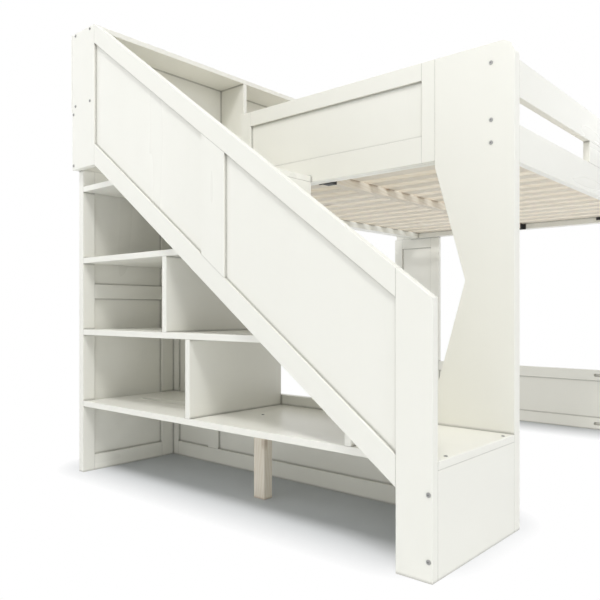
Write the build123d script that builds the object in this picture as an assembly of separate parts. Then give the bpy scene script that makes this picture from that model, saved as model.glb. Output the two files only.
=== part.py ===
from build123d import *
import os

os.makedirs("parts", exist_ok=True)

# All sizes are in millimetres. X runs from the wall side (-) to the stair front (+),
# Y from the stair side (-) to the far end of the bed (+), Z up from the floor.

# Overall layout
bed_width = 1814.0              # stair front to the outer face of the tower side frame
stair_width = 531.0             # outer face of the sloped guard to the bed's near end
bed_clear_length = 2075.0       # between the two end boards, for the mattress
bookcase_depth = 180.0
bookcase_overhang = 8.0         # rear of the bookcase past the tower side frame
bookcase_top = 1960.0
end_guard_top = 1618.0

# Stair levels, where each board is a tread at its front and a shelf behind
level_count = 4
rise = 320.0
going = 289.0
level_board = 24.0
riser_board = 24.0

# Frames with recessed panels
frame_width = 64.0              # face width of a stile or rail
foot_rail = 70.0                # face width of the rails at the foot and head of the legs
frame_board = 29.0              # thickness of stiles and rails
tongue = 9.0                    # how far a panel or rail end reaches into its groove
panel_board = 8.0
arris = 1.2                     # small bevel that takes the sharpness off every board

# Sloped stair guard, heights measured straight down
newel_width = 115.0
newel_front_height = 759.0
guard_height = 607.0
guard_top_rail_height = 82.0
guard_bottom_rail_height = 90.0
guard_middle_start = 814.0      # stair front to the middle stile
guard_middle_width = 122.0

# Tower side frame
side_frame_board = 34.0
side_front_stile = 58.0
side_rear_stile = 71.0
side_middle_rail_centre = 812.0

# Uprights between the boards, and the post under the first board
divider_board = 26.0
lower_divider_setback = 1036.0  # stair front to the divider on the first board
upper_divider_setback = 1177.0  # stair front to the divider on the second board
post_setback = 871.0
post_width = 57.0
post_depth = 44.0
post_inset = 258.0              # outer face of the guard to the post

# Bookcase along the wall side
bookcase_board = 23.0
bookcase_back_board = 9.0
bookcase_shelf_gap = 5.5        # top of the end guards to the underside of the shelf
bookcase_end_bay = 860.0        # clear length of the first and the last bay
bookcase_back_lap = 7.5         # how far the back board hangs below the shelf

# Framed legs at the wall side
wall_leg_width = 370.0
near_leg_stile = 72.0

# Shaped panel legs at the front side
shaped_leg_width = 292.0
shaped_leg_board = 42.0
shaped_leg_round = 48.0
waist_height = 828.0
waist_half_height = 404.0
waist_depth = 117.0
waist_round = 30.0

# Low panels between the legs
low_panel_height = 362.0
bolt_slot_length = 60.0
bolt_slot_height = 18.0
bolt_slot_depth = 13.0
bolt_slot_from_leg = 32.0

# Guard panels at the two ends of the bed
end_guard_length = 996.0
end_guard_bottom_rail = 95.0
end_guard_leg_stile = 54.0      # the near guard's stile beside the shaped leg
sill_height = 54.0

# Front side guard
side_guard_board = 27.0
side_guard_rail = 124.0
side_guard_bottom = 1215.0
side_guard_gap = 91.0
side_guard_opening = 727.0      # from a shaped leg to the filler block

# Slats and what they lie on
deck_rail_height = 98.0
deck_batten = 35.0              # height of the ledgers and the beam under the slats
slat_count = 15
slat_width = 70.0
slat_board = 19.0
slat_end_margin = 30.0
side_ledger_width = 48.0
end_ledger_width = 30.0
beam_width = 38.0
beam_setback = 814.0            # stair front to the centre beam

# Black steel under the deck
plate = 3.0
shoe_flange = 20.0              # how far a beam shoe reaches out beside the beam
shoe_depth = 42.0
shoe_height = 32.0
strap_reach = 68.0              # how far a joint strap runs along each of its two boards
strap_height = 17.0
strap_drop = 2.0                # top of the ledgers to the top of the strap

# Fasteners
screw_head = 11.0
bolt_head = 13.0
head_height = 2.0
socket_across = 5.0
socket_depth = 1.2
newel_screw_low = 57.0
newel_screw_high = 235.0
tread_screw_setback = 17.0      # front of a tread to its two screws
tread_screw_near = 103.0        # outer face of the guard to the first screw
tread_screw_far = 50.0          # second screw to the near end of the bed
leg_bolt_setback = 81.0
leg_bolt_low = 1285.0
leg_bolt_middle = 1361.0
leg_bolt_high = 1552.0
book_screw_front = 34.0         # front of the bookcase to the front row of screws
book_screw_rear = 28.0          # rear of the bookcase to the rear row
wall_screw_drop = 23.0          # bookcase shelf down to the upper screw of the wall board
wall_screw_lift = 19.0          # foot of the bookcase up to its lower screw

# Planes that follow from the sizes above
guard_run = bed_width + bookcase_overhang - bookcase_depth
total_width = bed_width + bookcase_overhang + bookcase_back_board
total_length = stair_width + bed_clear_length + 3 * frame_board
x_front = total_width / 2
x_wall = x_front - bed_width
x_book_front = x_front - guard_run
x_book_rear = x_book_front - bookcase_depth
x_back = -total_width / 2
y_guard = -total_length / 2
y_stair = y_guard + frame_board            # near edge of treads, shelves and risers
y_end_near = y_guard + stair_width         # outer face of the near end boards
y_inner_near = y_end_near + frame_board
y_inner_far = y_inner_near + bed_clear_length
y_end_far = y_inner_far + frame_board
y_book_far = total_length / 2
x_shaped = x_front - shaped_leg_width
x_side_frame = x_wall + side_frame_board
x_end_guard = x_shaped - end_guard_length
level_top = [rise * (i + 1) for i in range(level_count)]
level_front = [x_front - going * i for i in range(level_count)]
deck_bottom = level_top[-1] - level_board   # also the underside of the landing
slat_seat = deck_bottom + deck_batten
guard_slope = (bookcase_top - newel_front_height) / guard_run
guard_foot = bookcase_top - guard_height   # lower edge of the guard at the bookcase
y_shaped_near = y_end_near + shaped_leg_board
y_shaped_far = y_end_far - shaped_leg_board

parts = {}


# Building helpers

def block(x0, x1, y0, y1, z0, z1):
    middle = Pos((x0 + x1) / 2, (y0 + y1) / 2, (z0 + z1) / 2)
    return middle * Box(x1 - x0, y1 - y0, z1 - z0)


def board(x0, x1, y0, y1, z0, z1):
    sawn = block(x0, x1, y0, y1, z0, z1)
    return chamfer(sawn.edges(), arris)


def upright(points, y0, y1):
    # A board whose outline is drawn in X and Z and whose thickness runs along Y.
    face = Plane.XZ * make_face(Polyline(*points, close=True))
    return Pos(0, y1, 0) * extrude(face, amount=y1 - y0)


def eased(solid):
    return chamfer(solid.edges(), arris)


def group(pieces):
    return Compound(children=list(pieces))


def cut(solids, tools):
    result = []
    for solid in solids:
        for tool in tools:
            solid = solid - tool
        result.append(solid)
    return result


# Frame and panel work. It is laid out flat against the XZ plane from its lower left
# corner: stiles run full height, rails and panels have tongues in the stiles' grooves.

def framed(width, height, thickness, stiles, rails):
    groove_0 = (thickness - panel_board) / 2
    groove_1 = groove_0 + panel_board
    stile_boards = [board(a, b, 0, thickness, 0, height) for a, b in stiles]
    rail_boards = []
    rail_tongues = []
    panel_boards = []
    bays = [(stiles[i][1], stiles[i + 1][0]) for i in range(len(stiles) - 1)]
    for left, right in bays:
        for z0, z1 in rails:
            end_tongue = block(left - tongue, right + tongue, groove_0, groove_1, z0, z1)
            rail_boards.append(board(left, right, 0, thickness, z0, z1) + end_tongue)
            rail_tongues.append(end_tongue)
        for (_, below), (above, _) in zip(rails, rails[1:]):
            panel_boards.append(
                block(left - tongue, right + tongue, groove_0, groove_1,
                      below - tongue, above + tongue))
    stile_boards = cut(stile_boards, rail_tongues + panel_boards)
    rail_boards = cut(rail_boards, panel_boards)
    return stile_boards, rail_boards, panel_boards


def place(location, solids):
    return group([location * solid for solid in solids])


def frame_nodes(name, location, width, height, stiles, rails, thickness=frame_board):
    stile_boards, rail_boards, panel_boards = framed(width, height, thickness, stiles, rails)
    parts[name + "_stiles"] = place(location, stile_boards)
    parts[name + "_rails"] = place(location, rail_boards)
    parts[name + "_panel"] = place(location, panel_boards)


# Tower side frame, which stands behind the bookcase's near side, flush with the shelves

side_depth = stair_width - frame_board
side_frame_at = Pos(x_side_frame, y_stair, 0) * Rot(0, 0, 90)
frame_nodes(
    "tower_side", side_frame_at, side_depth, guard_foot,
    stiles=[(0, side_front_stile), (side_depth - side_rear_stile, side_depth)],
    rails=[(0, foot_rail),
           (side_middle_rail_centre - frame_width / 2,
            side_middle_rail_centre + frame_width / 2),
           (guard_foot - frame_width, guard_foot)],
    thickness=side_frame_board)

# Level boards

level_names = ["level_board_1", "level_board_2", "level_board_3", "landing_board"]
for name, top, front in zip(level_names, level_top, level_front):
    parts[name] = board(x_side_frame, front, y_stair, y_end_near, top - level_board, top)

# Risers under the front edge of each level board

for i in range(level_count):
    foot = level_top[i] - rise
    parts["riser_%d" % (i + 1)] = board(
        level_front[i] - riser_board, level_front[i], y_stair, y_end_near,
        foot, level_top[i] - level_board)

# Uprights that part the shelves, and the plain wooden post

parts["lower_divider"] = board(
    x_front - lower_divider_setback - divider_board, x_front - lower_divider_setback,
    y_stair, y_end_near, level_top[0], level_top[1] - level_board)
parts["upper_divider"] = board(
    x_front - upper_divider_setback - divider_board, x_front - upper_divider_setback,
    y_stair, y_end_near, level_top[1], level_top[2] - level_board)
post_x = x_front - post_setback - post_width / 2
post_y = y_guard + post_inset + post_depth / 2
parts["support_post"] = board(
    post_x - post_width / 2, post_x + post_width / 2,
    post_y - post_depth / 2, post_y + post_depth / 2, 0, level_top[0] - level_board)

# Sloped guard: newel, two sloped rails, a middle stile and two panels


def guard_line(setback, drop):
    return newel_front_height + guard_slope * setback - drop


def guard_member(near, far, upper_drop, lower_drop, y0, y1):
    corners = [
        (x_front - near, guard_line(near, lower_drop)),
        (x_front - near, guard_line(near, upper_drop)),
        (x_front - far, guard_line(far, upper_drop)),
        (x_front - far, guard_line(far, lower_drop))]
    return upright(corners, y0, y1)


groove_near = y_guard + (frame_board - panel_board) / 2
groove_far = groove_near + panel_board
guard_middle_end = guard_middle_start + guard_middle_width
top_rail_drop = guard_top_rail_height
bottom_rail_drop = guard_height - guard_bottom_rail_height
lower_guard_panel = guard_member(
    newel_width - tongue, guard_middle_start + tongue,
    top_rail_drop - tongue, bottom_rail_drop + tongue, groove_near, groove_far)
upper_guard_panel = guard_member(
    guard_middle_end - tongue, guard_run + tongue,
    top_rail_drop - tongue, bottom_rail_drop + tongue, groove_near, groove_far)
guard_panels = [lower_guard_panel, upper_guard_panel]

newel_outline = [
    (x_front, 0), (x_front, newel_front_height),
    (x_front - newel_width, guard_line(newel_width, 0)), (x_front - newel_width, 0)]
newel = eased(upright(newel_outline, y_guard, y_stair))
guard_top = eased(guard_member(newel_width, guard_run, 0, top_rail_drop, y_guard, y_stair))
guard_bottom = eased(guard_member(
    newel_width, guard_run, bottom_rail_drop, guard_height, y_guard, y_stair))
guard_middle = eased(guard_member(
    guard_middle_start, guard_middle_end, top_rail_drop, bottom_rail_drop,
    y_guard, y_stair))

parts["newel_post"] = cut([newel], guard_panels)[0]
parts["guard_top_rail"] = cut([guard_top], guard_panels)[0]
parts["guard_bottom_rail"] = cut([guard_bottom], guard_panels)[0]
parts["guard_middle_stile"] = cut([guard_middle], guard_panels)[0]
parts["guard_lower_panel"] = lower_guard_panel
parts["guard_upper_panel"] = upper_guard_panel

# Bookcase over the wall side of the bed

book_near = y_stair
book_far = y_end_far
near_side = board(x_book_rear, x_book_front, y_guard, book_near, guard_foot, bookcase_top)
parts["bookcase_near_side"] = cut([near_side], guard_panels)[0]
parts["bookcase_far_side"] = board(
    x_book_rear, x_book_front, book_far, y_book_far, guard_foot, bookcase_top)
parts["bookcase_top"] = board(
    x_book_rear, x_book_front, book_near, book_far,
    bookcase_top - bookcase_board, bookcase_top)
shelf_bottom = end_guard_top + bookcase_shelf_gap
shelf_top = shelf_bottom + bookcase_board
parts["bookcase_shelf"] = board(
    x_book_rear, x_book_front, book_near, book_far, shelf_bottom, shelf_top)
first_divider = book_near + bookcase_end_bay
last_divider = book_far - bookcase_end_bay - bookcase_board
parts["bookcase_dividers"] = group([
    board(x_book_rear, x_book_front, y, y + bookcase_board,
          shelf_top, bookcase_top - bookcase_board)
    for y in (first_divider, last_divider)])
parts["bookcase_back"] = board(
    x_back, x_book_rear, y_guard, y_book_far,
    shelf_bottom - bookcase_back_lap, bookcase_top)
parts["wall_guard_board"] = board(
    x_book_rear, x_book_rear + bookcase_board, book_near, book_far,
    guard_foot, shelf_bottom)

# Shaped legs at the front side, each a panel with a waist cut in its inner edge


def shaped_leg(y0, y1):
    x_waist = x_shaped + waist_depth
    outline = [
        (x_front, 0), (x_front, end_guard_top), (x_shaped, end_guard_top),
        (x_shaped, waist_height + waist_half_height), (x_waist, waist_height),
        (x_shaped, waist_height - waist_half_height), (x_shaped, 0)]
    leg = upright(outline, y0, y1)
    across = leg.edges().filter_by(Axis.Y)
    corner = across.sort_by_distance((x_front, (y0 + y1) / 2, end_guard_top))[0]
    leg = fillet(corner, shaped_leg_round)
    across = leg.edges().filter_by(Axis.Y)
    waist = across.sort_by_distance((x_waist, (y0 + y1) / 2, waist_height))[0]
    leg = fillet(waist, waist_round)
    return eased(leg)


parts["near_shaped_leg"] = shaped_leg(y_end_near, y_shaped_near)
parts["far_shaped_leg"] = shaped_leg(y_shaped_far, y_end_far)

# Wall side legs and low panels. One foot rail runs from the wall side stile to the shaped
# leg. The leg's second stile stands on it, and the low panel lies beyond that stile.

leg_right = x_wall + wall_leg_width
low_rail_bottom = low_panel_height - frame_width
slot_centre_x = x_shaped - bolt_slot_from_leg - bolt_slot_length / 2
slot_heights = (foot_rail / 2, low_panel_height - frame_width / 2)


def bolt_slot(inner_face, inward, z):
    # A round-ended pocket cut from the inner face, where a joining bolt is tightened.
    straight = bolt_slot_length - bolt_slot_height
    floor = inner_face - inward * bolt_slot_depth
    middle = (inner_face + floor) / 2
    pocket = Pos(slot_centre_x, middle, z) * Box(straight, bolt_slot_depth, bolt_slot_height)
    for side in (-1, 1):
        end = Pos(slot_centre_x + side * straight / 2, middle, z) * Rot(90, 0, 0)
        pocket = pocket + end * Cylinder(bolt_slot_height / 2, bolt_slot_depth)
    return pocket


def wall_side_nodes(name, y0, y1, stile, inner_face, inward):
    groove_0 = (y0 + y1 - panel_board) / 2
    groove_1 = groove_0 + panel_board
    left = x_wall + stile
    right = leg_right - stile
    head_bottom = deck_bottom - foot_rail
    leg_panel = block(left - tongue, right + tongue, groove_0, groove_1,
                      foot_rail - tongue, head_bottom + tongue)
    low_panel = block(leg_right - tongue, x_shaped, groove_0, groove_1,
                      foot_rail - tongue, low_rail_bottom + tongue)
    foot_tongue = block(left - tongue, left, groove_0, groove_1, 0, foot_rail)
    head_tongue = block(left - tongue, right + tongue, groove_0, groove_1,
                        head_bottom, deck_bottom)
    low_tongue = block(leg_right - tongue, leg_right, groove_0, groove_1,
                       low_rail_bottom, low_panel_height)
    panels = [leg_panel, low_panel]
    stiles = [board(x_wall, left, y0, y1, 0, deck_bottom),
              board(right, leg_right, y0, y1, foot_rail, deck_bottom)]
    head_rail = board(left, right, y0, y1, head_bottom, deck_bottom) + head_tongue
    foot = board(left, x_shaped, y0, y1, 0, foot_rail) + foot_tongue
    low_rail = board(leg_right, x_shaped, y0, y1, low_rail_bottom, low_panel_height)
    slots = [bolt_slot(inner_face, inward, z) for z in slot_heights]
    tongues = [foot_tongue, head_tongue, low_tongue]
    parts[name + "_wall_leg_stiles"] = group(cut(stiles, panels + tongues))
    parts[name + "_wall_leg_rail"] = cut([head_rail], panels)[0]
    parts[name + "_wall_leg_panel"] = leg_panel
    parts[name + "_low_rails"] = group(cut([foot, low_rail + low_tongue], panels + slots))
    parts[name + "_low_panel"] = low_panel


wall_side_nodes("near", y_end_near, y_inner_near, near_leg_stile, y_inner_near, 1)
wall_side_nodes("far", y_inner_far, y_end_far, frame_width, y_inner_far, -1)

# Guard panels at the ends of the bed, and the sill where one climbs in

end_height = end_guard_top - deck_bottom
frame_nodes(
    "near_end", Pos(x_end_guard, y_end_near, deck_bottom),
    end_guard_length, end_height,
    stiles=[(0, frame_width), (end_guard_length - end_guard_leg_stile, end_guard_length)],
    rails=[(0, end_guard_bottom_rail), (end_height - frame_width, end_height)])
x_wall_board = x_book_rear + bookcase_board    # front face of the long board at the wall
far_end_length = x_shaped - x_wall_board
far_middle = far_end_length / 2
frame_nodes(
    "far_end", Pos(x_wall_board, y_inner_far, deck_bottom), far_end_length, end_height,
    stiles=[(0, frame_width),
            (far_middle - frame_width / 2, far_middle + frame_width / 2),
            (far_end_length - frame_width, far_end_length)],
    rails=[(0, end_guard_bottom_rail), (end_height - frame_width, end_height)])
parts["entry_sill"] = board(
    x_wall, x_end_guard, y_end_near, y_inner_near, deck_bottom, deck_bottom + sill_height)

# Front side guard: two rails with a filler block between them

x_side_guard = x_front - side_guard_board
lower_rail_top = side_guard_bottom + side_guard_rail
upper_rail_bottom = lower_rail_top + side_guard_gap
parts["side_guard_lower_rail"] = board(
    x_side_guard, x_front, y_shaped_near, y_shaped_far, side_guard_bottom, lower_rail_top)
parts["side_guard_top_rail"] = board(
    x_side_guard, x_front, y_shaped_near, y_shaped_far,
    upper_rail_bottom, upper_rail_bottom + side_guard_rail)
parts["side_guard_block"] = board(
    x_side_guard, x_front, y_shaped_near + side_guard_opening,
    y_shaped_far - side_guard_opening, lower_rail_top, upper_rail_bottom)

# Wall rail, ledgers, centre beam and slats

parts["wall_rail"] = board(
    x_book_front - frame_board, x_book_front, y_inner_near, y_inner_far,
    deck_bottom, deck_bottom + deck_rail_height)
y_ledger_near = y_inner_near + end_ledger_width
y_ledger_far = y_inner_far - end_ledger_width
parts["side_ledgers"] = group([
    board(x0, x0 + side_ledger_width, y_ledger_near, y_ledger_far, deck_bottom, slat_seat)
    for x0 in (x_book_front, x_side_guard - side_ledger_width)])
parts["end_ledgers"] = group([
    board(x_book_front, x_shaped, y_inner_near, y_ledger_near, deck_bottom, slat_seat),
    board(x_book_front, x_shaped, y_ledger_far, y_inner_far, deck_bottom, slat_seat)])
x_beam = x_front - beam_setback
parts["centre_beam"] = board(
    x_beam - beam_width, x_beam, y_ledger_near, y_ledger_far, deck_bottom, slat_seat)
slat_zone = bed_clear_length - 2 * slat_end_margin - slat_width
slat_pitch = slat_zone / (slat_count - 1)
first_slat = y_inner_near + slat_end_margin
parts["slats"] = group([
    board(x_book_front, x_side_guard, first_slat + slat_pitch * i,
          first_slat + slat_pitch * i + slat_width, slat_seat, slat_seat + slat_board)
    for i in range(slat_count)])

# Black steel under the deck: a shoe at each end of the beam, and a bent strap that ties
# each end ledger to the shaped leg beside it

strap_top = slat_seat - strap_drop


def span(start, length):
    return sorted((start, start + length))


def beam_shoe(y, inward):
    shoe_top = deck_bottom + shoe_height
    x0 = x_beam - beam_width
    pieces = [block(x0 - plate, x_beam + plate, *span(y, inward * shoe_depth),
                    deck_bottom - plate, deck_bottom)]
    for face, outward in ((x0, -1), (x_beam, 1)):
        pieces.append(block(*span(face, outward * plate), *span(y, inward * shoe_depth),
                            deck_bottom - plate, shoe_top))
        pieces.append(block(*span(face, outward * shoe_flange), *span(y, inward * plate),
                            deck_bottom - plate, shoe_top))
    return pieces[0] + pieces[1:]


def joint_strap(y_ledger, y_leg, inward):
    strap_heights = (strap_top - strap_height, strap_top)
    on_ledger = block(x_shaped - strap_reach, x_shaped + plate,
                      *span(y_ledger, inward * plate), *strap_heights)
    step = block(x_shaped, x_shaped + plate, *sorted((y_leg, y_ledger)), *strap_heights)
    on_leg = block(x_shaped, x_shaped + strap_reach,
                   *span(y_leg, inward * plate), *strap_heights)
    return on_ledger + step + on_leg


parts["deck_brackets"] = group([
    beam_shoe(y_ledger_near, 1), beam_shoe(y_ledger_far, -1),
    joint_strap(y_ledger_near, y_shaped_near, 1),
    joint_strap(y_ledger_far, y_shaped_far, -1)])

# Fastener heads


def head(width):
    disc = Cylinder(width / 2, head_height, align=(Align.CENTER, Align.CENTER, Align.MIN))
    disc = chamfer(disc.edges().sort_by(Axis.Z)[-1], head_height / 4)
    socket = extrude(RegularPolygon(socket_across / 2, 6), amount=socket_depth)
    return disc - Pos(0, 0, head_height - socket_depth) * socket


def heads(width, points, outward):
    shape = head(width)
    return group([Plane(point, z_dir=outward).location * shape for point in points])


def end_heads(width, points, y_near, y_far):
    near = heads(width, [(x, y_near, z) for x, z in points], (0, -1, 0))
    far = heads(width, [(x, y_far, z) for x, z in points], (0, 1, 0))
    return group(list(near.children) + list(far.children))


x_newel_screw = x_front - riser_board / 2
parts["newel_screws"] = heads(
    bolt_head, [(x_newel_screw, y_guard, z) for z in (newel_screw_low, newel_screw_high)],
    (0, -1, 0))
tread_screw_points = [
    (front - tread_screw_setback, y, top)
    for top, front in zip(level_top, level_front)
    for y in (y_guard + tread_screw_near, y_end_near - tread_screw_far)]
parts["tread_screws"] = heads(
    screw_head, tread_screw_points + [(post_x, post_y, level_top[0])], (0, 0, 1))
leg_bolt_points = [
    (x_front - leg_bolt_setback, z) for z in (leg_bolt_low, leg_bolt_middle, leg_bolt_high)]
parts["leg_bolts"] = end_heads(bolt_head, leg_bolt_points, y_end_near, y_end_far)
book_screw_points = [
    (x, z)
    for x in (x_book_front - book_screw_front, x_book_rear + book_screw_rear)
    for z in (bookcase_top - bookcase_board / 2, shelf_top - bookcase_board / 2)]
wall_screw_points = [
    (x_book_rear + bookcase_board / 2, z)
    for z in (shelf_bottom - wall_screw_drop, guard_foot + wall_screw_lift)]
parts["bookcase_screws"] = end_heads(
    screw_head, book_screw_points + wall_screw_points, y_guard, y_book_far)

# Export

for name, shape in parts.items():
    export_step(shape, "parts/%s.step" % name)
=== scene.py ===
# %% [markdown]
# # A painted loft bed with a shelf stair
#
# The bed stands on panel legs. A stair of four boards climbs to it, and the back half of
# each board is a shelf. A sloped guard of frame and panel work runs beside the stair, and a
# long bookcase closes the wall side. Every board comes from the solid model, so this file
# gives the boards their finish, sets up a pale studio and places the camera.

import bpy
import math
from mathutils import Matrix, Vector

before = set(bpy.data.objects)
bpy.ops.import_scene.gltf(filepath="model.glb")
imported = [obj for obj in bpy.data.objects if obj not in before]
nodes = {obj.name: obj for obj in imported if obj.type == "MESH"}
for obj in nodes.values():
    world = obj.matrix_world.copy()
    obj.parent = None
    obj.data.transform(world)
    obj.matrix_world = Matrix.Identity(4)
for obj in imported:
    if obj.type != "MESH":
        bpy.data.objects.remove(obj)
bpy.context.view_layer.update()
print("boards and fittings loaded:", len(nodes))

# %% [markdown]
# ## Small helpers for building a finish
#
# A finish is a tree of shader nodes. Typing every link by hand hides what the finish does,
# so a few helpers add a node, join two nodes and do a sum with numbers or with vectors.
# Each finish below then reads as a short list of what a painter would do.

# %% Helpers for shader trees


def new_finish(name):
    finish = bpy.data.materials.new(name)
    finish.use_nodes = True
    tree = finish.node_tree
    return finish, tree, tree.nodes["Principled BSDF"]


def add(tree, kind, **values):
    node = tree.nodes.new(kind)
    for key, value in values.items():
        if key in node.inputs:
            node.inputs[key].default_value = value
        else:
            setattr(node, key, value)
    return node


def join(tree, source, target):
    tree.links.new(source, target)


def numbers(tree, operation, first, second=None):
    node = add(tree, "ShaderNodeMath", operation=operation)
    for socket, value in zip(node.inputs, (first, second)):
        if isinstance(value, float):
            socket.default_value = value
        elif value is not None:
            join(tree, value, socket)
    return node.outputs["Value"]


def vectors(tree, operation, first, second=None, result="Vector"):
    node = add(tree, "ShaderNodeVectorMath", operation=operation)
    for socket, value in zip(node.inputs, (first, second)):
        if isinstance(value, tuple):
            socket.default_value = value
        elif value is not None:
            join(tree, value, socket)
    return node.outputs[result]


print("helpers ready")

# %% [markdown]
# ## From a pattern to a colour
#
# A pattern runs from 0 to 1 over the surface, and by itself it is only shades of grey. One
# helper stretches a part of it to a chosen range, so that it can drive a roughness or a
# height. Another lets one colour show through a second one where the pattern is strong,
# much as a painter lays a thin glaze over a ground. A third turns a height into a relief
# that catches the light without moving the surface.

# %% Helpers for patterns and colours


def ranged(tree, pattern, low, high, start=0.0, end=1.0):
    scale = add(tree, "ShaderNodeMapRange", clamp=True)
    join(tree, pattern, scale.inputs["Value"])
    scale.inputs["From Min"].default_value = start
    scale.inputs["From Max"].default_value = end
    scale.inputs["To Min"].default_value = low
    scale.inputs["To Max"].default_value = high
    return scale.outputs["Result"]


def blend(tree, amount, first, second):
    mix = add(tree, "ShaderNodeMix", data_type="RGBA", blend_type="MIX")
    join(tree, amount, mix.inputs["Factor"])
    for socket, value in ((mix.inputs["A"], first), (mix.inputs["B"], second)):
        if isinstance(value, tuple):
            socket.default_value = (*value, 1.0)
        else:
            join(tree, value, socket)
    return mix.outputs["Result"]


def glaze(tree, ground, colour, pattern, most, start=0.0, end=1.0):
    return blend(tree, ranged(tree, pattern, 0.0, most, start, end), ground, colour)


def relief(tree, surface, height, strength, depth):
    bump = add(tree, "ShaderNodeBump", Strength=strength, Distance=depth)
    join(tree, height, bump.inputs["Height"])
    join(tree, bump.outputs["Normal"], surface.inputs["Normal"])


print("pattern helpers ready")

# %% [markdown]
# ## Which way the wood runs
#
# A joiner cuts each board with the grain along its length. Paint doesn't hide that wholly:
# it sinks a little between the fibres. So a finish has to know which way its board runs.
# The pattern is drawn along X, and the board's direction is turned to X before it is drawn.
# The slope of the guard comes from three sizes of the stair, all in metres.

# %% Grain directions
BOOKCASE_TOP = 1.960
NEWEL_HEIGHT = 0.759
GUARD_RUN = 1.642
GUARD_SLOPE = math.atan((BOOKCASE_TOP - NEWEL_HEIGHT) / GUARD_RUN)

TURN_TO_X = {
    "x": (0.0, 0.0, 0.0),
    "y": (0.0, 0.0, -math.pi / 2),
    "z": (0.0, math.pi / 2, 0.0),
    "slope": (0.0, -GUARD_SLOPE, 0.0),
}


def along_board(tree, way):
    place = add(tree, "ShaderNodeTexCoord").outputs["Object"]
    turn = add(tree, "ShaderNodeMapping", Rotation=TURN_TO_X[way])
    join(tree, place, turn.inputs["Vector"])
    return turn.outputs["Vector"]


print("guard slope in degrees:", round(math.degrees(GUARD_SLOPE), 1))

# %% [markdown]
# ## Clouds and fibres
#
# Nearly every natural surface can be drawn from one soft random cloud. Pulled out along the
# board and squeezed across it, the cloud turns into fibres. Left round and made very fine,
# it is the skin of a sprayed coat. Pattern sizes are given as repeats in a metre, first
# along the board and then across it.

# %% Cloud patterns


def stretched(tree, place, along, across):
    stretch = add(tree, "ShaderNodeMapping")
    stretch.inputs["Scale"].default_value = (along, across, across)
    join(tree, place, stretch.inputs["Vector"])
    return stretch.outputs["Vector"]


def cloud(tree, place, scale=1.0, detail=3.0, roughness=0.5, distortion=0.0):
    noise = add(tree, "ShaderNodeTexNoise", Scale=scale, Detail=detail,
                Roughness=roughness, Distortion=distortion)
    join(tree, place, noise.inputs["Vector"])
    return noise.outputs["Fac"]


print("cloud patterns ready")

# %% [markdown]
# ## Where edges and corners are
#
# On the paint and the pine the edges are painted a little paler, a painted highlight, and on
# the paint the film is also thinner on the bevel. The finishes darken corners and recesses
# with painted shade, which also draws the narrow dark line where two boards meet. A rounded
# copy of the surface direction differs from the true one only near an edge, so their
# difference marks the edges. Short rays that hit a neighbour mark the corners and the joints.

# %% Edge and corner marks
EDGE_RADIUS = 0.003
CORNER_REACH = 0.011


def edge_mark(tree, radius=EDGE_RADIUS):
    rounded = add(tree, "ShaderNodeBevel", samples=4, Radius=radius)
    true = add(tree, "ShaderNodeNewGeometry")
    match = vectors(tree, "DOT_PRODUCT", rounded.outputs["Normal"], true.outputs["Normal"],
                    result="Value")
    return ranged(tree, match, 1.0, 0.0, start=0.80, end=0.995)


# Darkening by this mark is painted shade in corners and recesses, and the dark line of a
# joint.
def corner_shade_mark(tree, reach=CORNER_REACH):
    rays = add(tree, "ShaderNodeAmbientOcclusion", samples=6, Distance=reach)
    return ranged(tree, rays.outputs["AO"], 1.0, 0.0, start=0.58, end=0.92)


print("edges are marked within", EDGE_RADIUS, "m and corners within", CORNER_REACH, "m")

# %% [markdown]
# ## Satin white paint
#
# The boards are painted a warm white. From far the paint looks even, but close up it has
# five layers of detail: faint grain under the film, a tone that drifts a little along the
# board, the fine skin that a spray gun leaves, edges that are warmer where the film is thin
# and paler from a painted highlight, and dark lines at the joints with painted shade in the
# corners. Away from edges and joints the tone stays within two percent, because a
# stronger change would look like dirt on a new bed.

# %% White paint
PAINT = (0.862, 0.852, 0.785)
PAINT_DEEP = (0.840, 0.829, 0.759)
PAINT_THIN_EDGE_HIGHLIGHT = (0.885, 0.868, 0.796)
PAINT_JOINT_AND_CORNER_SHADE = (0.330, 0.318, 0.285)
PAINT_FIBRES = (5.0, 190.0)
PAINT_DRIFT = (0.8, 5.0)
PAINT_SKIN = 1400.0
PAINT_RELIEF = 0.0004


def white_paint(name, way):
    finish, tree, surface = new_finish(name)
    place = along_board(tree, way)
    fibres = cloud(tree, stretched(tree, place, *PAINT_FIBRES),
                   detail=5.0, roughness=0.6, distortion=0.4)
    drift = cloud(tree, stretched(tree, place, *PAINT_DRIFT), detail=2.0)
    skin = cloud(tree, place, PAINT_SKIN, detail=2.0)
    edges = edge_mark(tree)
    corners = corner_shade_mark(tree)

    tone = glaze(tree, PAINT, PAINT_DEEP, drift, 0.35, start=0.3, end=0.7)
    tone = glaze(tree, tone, PAINT_DEEP, fibres, 0.20, start=0.45, end=0.8)
    # Edges: warmer where the film is thin, and paler as a painted highlight.
    tone = glaze(tree, tone, PAINT_THIN_EDGE_HIGHLIGHT, edges, 0.6)
    # Dark joint lines, and painted shade in corners and recesses.
    tone = glaze(tree, tone, PAINT_JOINT_AND_CORNER_SHADE, corners, 0.72)
    join(tree, tone, surface.inputs["Base Color"])
    join(tree, ranged(tree, drift, 0.27, 0.35, start=0.3, end=0.7),
         surface.inputs["Roughness"])

    height = numbers(tree, "ADD", ranged(tree, fibres, 0.0, 1.0),
                     ranged(tree, skin, 0.0, 0.25))
    relief(tree, surface, height, 0.25, PAINT_RELIEF)
    surface.inputs["IOR"].default_value = 1.48
    surface.inputs["Specular IOR Level"].default_value = 0.45
    return finish


painted = {way: white_paint("white_paint_along_" + way, way) for way in TURN_TO_X}
print("white paints:", ", ".join(sorted(painted)))

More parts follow.
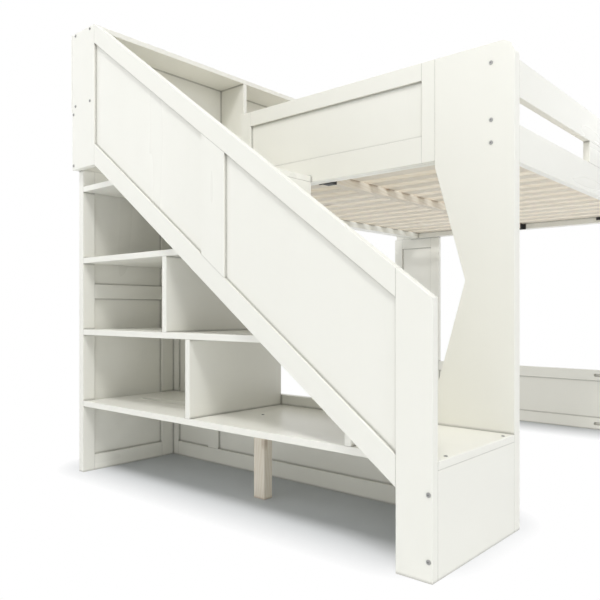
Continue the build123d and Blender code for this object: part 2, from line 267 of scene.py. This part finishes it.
# %% [markdown]
# ## One number for each slat
#
# The slats come from different planks, so their tone changes from slat to slat. They share
# one mesh, so the finish has to tell them apart by place: it counts the slats along the bed
# and draws one random value for each count. Counting from a quarter pitch before the first
# slat makes every step of the count fall in a gap.

# %% Plank numbers
SLAT_PITCH = 0.1389
FIRST_SLAT = -0.7565
# A beam or a post is one plank, so its pitch is longer than the bed.
ONE_PLANK_PITCH = 5.0
ONE_PLANK_START = -2.5


def plank_number(tree, pitch, start):
    apart = add(tree, "ShaderNodeSeparateXYZ")
    join(tree, add(tree, "ShaderNodeTexCoord").outputs["Object"], apart.inputs["Vector"])
    from_start = numbers(tree, "SUBTRACT", apart.outputs["Y"], start - pitch / 4)
    count = numbers(tree, "FLOOR", numbers(tree, "DIVIDE", from_start, pitch))
    draw = add(tree, "ShaderNodeTexWhiteNoise", noise_dimensions="1D")
    join(tree, count, draw.inputs["W"])
    return draw.outputs["Value"]


print("slat pitch in m:", SLAT_PITCH)

# %% [markdown]
# ## Bare pine
#
# The slats, the beam below them and the post under the first board are plain planed pine.
# Pine shows straight lines where the yearly rings were cut, a few darker streaks and the
# odd knot. The plank's random value also shifts the whole pattern, so that no two slats
# show the same rings.

# %% Bare pine
PINE_PALE = (0.850, 0.800, 0.710)
PINE_RING = (0.700, 0.610, 0.475)
PINE_KNOT = (0.300, 0.170, 0.080)
PINE_FIBRES = (9.0, 520.0)
PINE_RINGS = (0.5, 5.0)
PINE_STREAKS = (1.0, 24.0)
PINE_KNOTS = (2.6, 7.0)
PINE_RELIEF = 0.0006
PLANK_SHIFT = (3.0, 1.7, 2.3)


def shifted_by_plank(tree, place, plank):
    shift = add(tree, "ShaderNodeVectorMath", operation="SCALE")
    shift.inputs[0].default_value = PLANK_SHIFT
    join(tree, plank, shift.inputs["Scale"])
    return vectors(tree, "ADD", place, shift.outputs["Vector"])


def bare_pine(name, way, pitch=ONE_PLANK_PITCH, start=ONE_PLANK_START):
    finish, tree, surface = new_finish(name)
    plank = plank_number(tree, pitch, start)
    place = shifted_by_plank(tree, along_board(tree, way), plank)

    rings = add(tree, "ShaderNodeTexWave", wave_type="BANDS", bands_direction="DIAGONAL",
                wave_profile="SAW", Scale=9.0, Distortion=5.0, Detail=3.0)
    join(tree, stretched(tree, place, *PINE_RINGS), rings.inputs["Vector"])
    ring = rings.outputs["Fac"]
    fibres = cloud(tree, stretched(tree, place, *PINE_FIBRES), detail=4.0, roughness=0.6)
    streaks = cloud(tree, stretched(tree, place, *PINE_STREAKS))
    knots = add(tree, "ShaderNodeTexVoronoi", Scale=1.0, feature="F1")
    join(tree, stretched(tree, place, *PINE_KNOTS), knots.inputs["Vector"])
    knot = ranged(tree, knots.outputs["Distance"], 0.75, 0.0, start=0.03, end=0.10)

    tone = glaze(tree, PINE_PALE, PINE_RING, ring, 0.55, start=0.2, end=1.0)
    tone = glaze(tree, tone, PINE_RING, streaks, 0.35, start=0.5, end=0.8)
    tone = glaze(tree, tone, PINE_RING, fibres, 0.25, start=0.4, end=0.8)
    tone = blend(tree, knot, tone, PINE_KNOT)
    tone = glaze(tree, tone, PINE_RING, plank, 0.30)
    # Paler edges: a painted highlight.
    tone = glaze(tree, tone, PINE_PALE, edge_mark(tree), 0.35)
    # Darker corners and recesses: painted shade in the knot colour, and dark joint lines.
    tone = glaze(tree, tone, PINE_KNOT, corner_shade_mark(tree), 0.5)
    join(tree, tone, surface.inputs["Base Color"])
    join(tree, ranged(tree, fibres, 0.50, 0.66), surface.inputs["Roughness"])

    height = numbers(tree, "ADD", fibres, ranged(tree, ring, 0.0, 0.5))
    relief(tree, surface, height, 0.35, PINE_RELIEF)
    surface.inputs["Specular IOR Level"].default_value = 0.35
    return finish


pine_slats = bare_pine("bare_pine_slats", "x", SLAT_PITCH, FIRST_SLAT)
pine_beam = bare_pine("bare_pine_beam", "y")
pine_post = bare_pine("bare_pine_post", "z")
print("pine finishes: slats, beam, post")

# %% [markdown]
# ## Zinc plated screws and bolts
#
# The heads are zinc plated steel. Plating is a thin grey metal skin with a fine mottle, dull
# enough to show no clear picture of the room. The rim of a head is rubbed bright, and the
# socket gets painted shade: the corner mark darkens it with a shorter reach than on a board.

# %% Zinc plated steel
ZINC_DARK = (0.30, 0.30, 0.29)
ZINC_PALE = (0.46, 0.46, 0.45)
ZINC_SOCKET_SHADE = (0.03, 0.03, 0.03)
ZINC_RUBBED = (0.70, 0.70, 0.69)
ZINC_MOTTLE = 700.0
ZINC_RELIEF = 0.0001
SOCKET_REACH = 0.004
HEAD_RIM = 0.0006


def zinc_plate(name):
    finish, tree, surface = new_finish(name)
    mottle = cloud(tree, along_board(tree, "x"), ZINC_MOTTLE)
    tone = blend(tree, mottle, ZINC_DARK, ZINC_PALE)
    # The near black socket is painted shade.
    tone = glaze(tree, tone, ZINC_SOCKET_SHADE, corner_shade_mark(tree, SOCKET_REACH), 0.85)
    tone = glaze(tree, tone, ZINC_RUBBED, edge_mark(tree, HEAD_RIM), 0.5)
    join(tree, tone, surface.inputs["Base Color"])
    join(tree, ranged(tree, mottle, 0.34, 0.52), surface.inputs["Roughness"])
    surface.inputs["Metallic"].default_value = 0.85
    relief(tree, surface, mottle, 0.2, ZINC_RELIEF)
    return finish


zinc = zinc_plate("zinc_plated_steel")
print("finish:", zinc.name)

# %% [markdown]
# ## Black steel fittings
#
# The fittings under the deck have a black powder coat, which bakes into a dull, finely
# grained skin. It isn't quite black, and its edges are a little paler than its faces.

# %% Black powder coat
BLACK_COAT = (0.018, 0.018, 0.019)
BLACK_COAT_PALE = (0.032, 0.032, 0.034)
BLACK_RUBBED = (0.090, 0.088, 0.085)
COAT_GRAIN = 1600.0
COAT_RELIEF = 0.0002
COAT_EDGE = 0.001


def black_powder_coat(name):
    finish, tree, surface = new_finish(name)
    grain = cloud(tree, along_board(tree, "x"), COAT_GRAIN, detail=2.0)
    tone = blend(tree, grain, BLACK_COAT, BLACK_COAT_PALE)
    tone = glaze(tree, tone, BLACK_RUBBED, edge_mark(tree, COAT_EDGE), 0.5)
    join(tree, tone, surface.inputs["Base Color"])
    join(tree, ranged(tree, grain, 0.46, 0.60), surface.inputs["Roughness"])
    relief(tree, surface, grain, 0.4, COAT_RELIEF)
    return finish


black_steel = black_powder_coat("black_powder_coat")
print("finish:", black_steel.name)

# %% [markdown]
# ## Give every board its finish
#
# Rails run sideways, stiles and legs run upright, shelves run along their length, and the two
# rails of the guard follow the slope. Listing the boards by direction is what a joiner does
# when marking out stock, and it shows at once if one has been forgotten.

# %% Boards by direction
BOARDS = {
    "x": """level_board_1 level_board_2 level_board_3 landing_board near_low_rails
        near_low_panel far_low_rails far_low_panel near_end_rails far_end_rails
        near_wall_leg_rail far_wall_leg_rail entry_sill end_ledgers""",
    "y": """tower_side_rails riser_1 riser_2 riser_3 riser_4 bookcase_top bookcase_shelf
        bookcase_back wall_guard_board side_guard_lower_rail side_guard_top_rail
        side_guard_block wall_rail side_ledgers""",
    "z": """tower_side_stiles tower_side_panel lower_divider upper_divider newel_post
        guard_middle_stile guard_lower_panel guard_upper_panel bookcase_near_side
        bookcase_far_side bookcase_dividers near_wall_leg_stiles near_wall_leg_panel
        far_wall_leg_stiles far_wall_leg_panel near_shaped_leg far_shaped_leg
        near_end_stiles near_end_panel far_end_stiles far_end_panel""",
    "slope": "guard_top_rail guard_bottom_rail",
}
finish_of = {name: painted[way] for way, names in BOARDS.items() for name in names.split()}
finish_of["slats"] = pine_slats
finish_of["centre_beam"] = pine_beam
finish_of["support_post"] = pine_post
finish_of["deck_brackets"] = black_steel
for name in ("newel_screws", "tread_screws", "leg_bolts", "bookcase_screws"):
    finish_of[name] = zinc

for name, board in nodes.items():
    board.data.materials.clear()
    board.data.materials.append(finish_of[name])
print("finished:", len(finish_of), "of", len(nodes))

# %% [markdown]
# ## The studio floor
#
# The bed stands on a plain white floor that melts into a white background. The floor is a
# real surface, so it carries the shadow of the stair and of the low panel at the far end. A
# short way out from these two it fades into pure white for the camera and for reflections.

# %% Floor
FLOOR_HALF_SIZE = 30.0
corners = [(-1, -1), (1, -1), (1, 1), (-1, 1)]
floor_mesh = bpy.data.meshes.new("studio_floor")
floor_mesh.from_pydata(
    [(x * FLOOR_HALF_SIZE, y * FLOOR_HALF_SIZE, 0.0) for x, y in corners], [], [(0, 1, 2, 3)])
floor = bpy.data.objects.new("studio_floor", floor_mesh)
bpy.context.scene.collection.objects.link(floor)
print("floor side in m:", 2 * FLOOR_HALF_SIZE)

# %% [markdown]
# ## Where the floor is in shade
#
# Each shaded area is a flat box, given by its middle, its half size and the distance over
# which its shade fades out. The gap between a point and the box is zero inside it and grows
# outside, so the gap over that distance is the fade. Multiplied together, the fades of two
# areas leave shade round both.

# %% Fade of the shade
STAIR_SHADE = ((-0.08, -0.965), (0.78, 0.165), 0.28)
FAR_PANEL_SHADE = ((0.0, 1.303), (0.90, 0.0145), 0.35)


def seen_directly(tree):
    path = add(tree, "ShaderNodeLightPath")
    seen = path.outputs["Is Camera Ray"]
    for other in ("Is Glossy Ray", "Is Transmission Ray"):
        seen = numbers(tree, "MAXIMUM", seen, path.outputs[other])
    return seen


def away_from(tree, place, middle, half_size, reach):
    offset = vectors(tree, "SUBTRACT", place, (*middle, 0.0))
    outside = vectors(tree, "SUBTRACT", vectors(tree, "ABSOLUTE", offset), (*half_size, 0.0))
    gap = vectors(tree, "MAXIMUM", outside, (0.0, 0.0, 0.0))
    distance = vectors(tree, "LENGTH", gap, result="Value")
    return ranged(tree, distance, 0.0, 1.0, end=reach)


print("floor shadow ends", STAIR_SHADE[2], "m from the stair's shaded area")

# %% [markdown]
# ## Finish of the floor
#
# In the shade the floor is matt paint, and the camera sees it in a much deeper tone than the
# light that bounces up to the bed does: painted shade on top of the real shadow. A pale
# studio also throws light up from below, so for the light that reaches the bed the floor
# glows a little, and the camera never sees that glow. Away from the shade the camera sees
# pure white, which is a glow of strength 1.

# %% Floor finish
FLOOR_TONE = (0.940, 0.950, 0.960)
FLOOR_PAINTED_SHADE = (0.540, 0.560, 0.575)
FLOOR_GLOW = 0.032
WHITE = (1.0, 1.0, 1.0, 1.0)


def matt_floor(tree, seen):
    paint = add(tree, "ShaderNodeBsdfDiffuse")
    # For the camera the shaded floor takes the deeper tone: painted shade.
    join(tree, blend(tree, seen, FLOOR_TONE, FLOOR_PAINTED_SHADE), paint.inputs["Color"])
    glow = add(tree, "ShaderNodeEmission", Color=WHITE)
    join(tree, ranged(tree, seen, FLOOR_GLOW, 0.0), glow.inputs["Strength"])
    both = add(tree, "ShaderNodeAddShader")
    join(tree, paint.outputs["BSDF"], both.inputs[0])
    join(tree, glow.outputs["Emission"], both.inputs[1])
    return both.outputs["Shader"]


def floor_finish():
    finish, tree, surface = new_finish("studio_floor")
    tree.nodes.remove(surface)
    place = add(tree, "ShaderNodeTexCoord").outputs["Object"]
    far = numbers(tree, "MULTIPLY", away_from(tree, place, *STAIR_SHADE),
                  away_from(tree, place, *FAR_PANEL_SHADE))
    seen = seen_directly(tree)
    white = add(tree, "ShaderNodeEmission", Color=WHITE, Strength=1.0)
    mix = add(tree, "ShaderNodeMixShader")
    join(tree, numbers(tree, "MULTIPLY", far, seen), mix.inputs["Fac"])
    join(tree, matt_floor(tree, seen), mix.inputs[1])
    join(tree, white.outputs["Emission"], mix.inputs[2])
    join(tree, mix.outputs["Shader"], tree.nodes["Material Output"].inputs["Surface"])
    return finish


floor_mesh.materials.append(floor_finish())
print("floor finish:", floor_mesh.materials[0].name)

# %% [markdown]
# ## Light from the room
#
# The world around stands for the walls and the ceiling: the camera and reflections see it as
# plain white, and everything else gets a gentler light from it. Less comes from the sides
# than from above, so it stays dark under the lowest board.

# %% World
WALL_LIGHT = 0.44
CEILING_LIGHT = 0.69
ROOM_TINT = (0.97, 0.985, 1.0, 1.0)

world = bpy.data.worlds.new("pale_room")
bpy.context.scene.world = world
world.use_nodes = True
room = world.node_tree
room.nodes.clear()
direction = add(room, "ShaderNodeSeparateXYZ")
join(room, add(room, "ShaderNodeTexCoord").outputs["Generated"], direction.inputs["Vector"])
gentle = add(room, "ShaderNodeBackground", Color=ROOM_TINT)
join(room, ranged(room, direction.outputs["Z"], WALL_LIGHT, CEILING_LIGHT),
     gentle.inputs["Strength"])
plain_white = add(room, "ShaderNodeBackground", Color=WHITE, Strength=1.0)
room_mix = add(room, "ShaderNodeMixShader")
join(room, seen_directly(room), room_mix.inputs["Fac"])
join(room, gentle.outputs["Background"], room_mix.inputs[1])
join(room, plain_white.outputs["Background"], room_mix.inputs[2])
join(room, room_mix.outputs["Shader"],
     add(room, "ShaderNodeOutputWorld").inputs["Surface"])
print("room light from the sides and from above:", WALL_LIGHT, CEILING_LIGHT)

# %% [markdown]
# ## Lamps
#
# The main light is a soft lamp high in front of the stair. The others fill its shadows from
# the stair side, the front, the wall side and the far end. They are big and stand far away,
# so their shadows are soft and both ends of the stair are lit alike.

# %% Lamps
LOOK_AT = Vector((0.0, -0.3, 0.9))
# Place in metres, side of the square in metres and power in watts.
LAMPS = {
    "stair_side_lamp": ((-2.4, -12.0, 8.0), 5.0, 165.0),
    "stair_front_lamp": ((2.6, -3.9, 6.5), 1.6, 205.0),
    "front_lamp": ((11.0, -2.5, 5.5), 5.0, 140.0),
    "wall_side_lamp": ((-12.0, -7.0, 5.0), 6.0, 112.0),
    "far_end_lamp": ((1.0, 7.0, 4.5), 3.0, 77.0),
}


def soft_lamp(name, place, size, watts):
    lamp = bpy.data.lights.new(name, "AREA")
    lamp.shape = "SQUARE"
    lamp.size = size
    lamp.energy = watts
    holder = bpy.data.objects.new(name, lamp)
    holder.location = place
    aim = LOOK_AT - Vector(place)
    holder.rotation_euler = aim.to_track_quat("-Z", "Y").to_euler()
    bpy.context.scene.collection.objects.link(holder)


for name, settings in LAMPS.items():
    soft_lamp(name, *settings)
print("lamps:", len(LAMPS))

# %% [markdown]
# ## Camera
#
# The camera stands to the right of the stair at about the height of a kitchen table and
# looks level, so upright edges stay upright in the picture. Its place, its lens and the
# small shift of the picture centre come from fitting the edges of the bed to the photograph.

# %% Camera
CAMERA_PLACE = (1.7701, -2.8536, 0.7230)
CAMERA_TURN = math.radians(41.00)
FOCAL_PIXELS = 644.47
PICTURE_SIZE = 600.0
CENTRE_IN_PICTURE = (302.02, 310.87)
SENSOR_WIDTH = 36.0
FARTHEST_SEEN = 100.0

lens = bpy.data.cameras.new("camera")
lens.sensor_width = SENSOR_WIDTH
lens.sensor_fit = "HORIZONTAL"
lens.lens = FOCAL_PIXELS / PICTURE_SIZE * SENSOR_WIDTH
lens.shift_x = (PICTURE_SIZE / 2 - CENTRE_IN_PICTURE[0]) / PICTURE_SIZE
lens.shift_y = (CENTRE_IN_PICTURE[1] - PICTURE_SIZE / 2) / PICTURE_SIZE
lens.clip_end = FARTHEST_SEEN
camera = bpy.data.objects.new("camera", lens)
camera.location = CAMERA_PLACE
camera.rotation_euler = (math.pi / 2, 0.0, CAMERA_TURN)
bpy.context.scene.collection.objects.link(camera)
bpy.context.scene.camera = camera
bpy.context.scene.view_settings.view_transform = "Standard"
print("lens in mm:", round(lens.lens, 2))
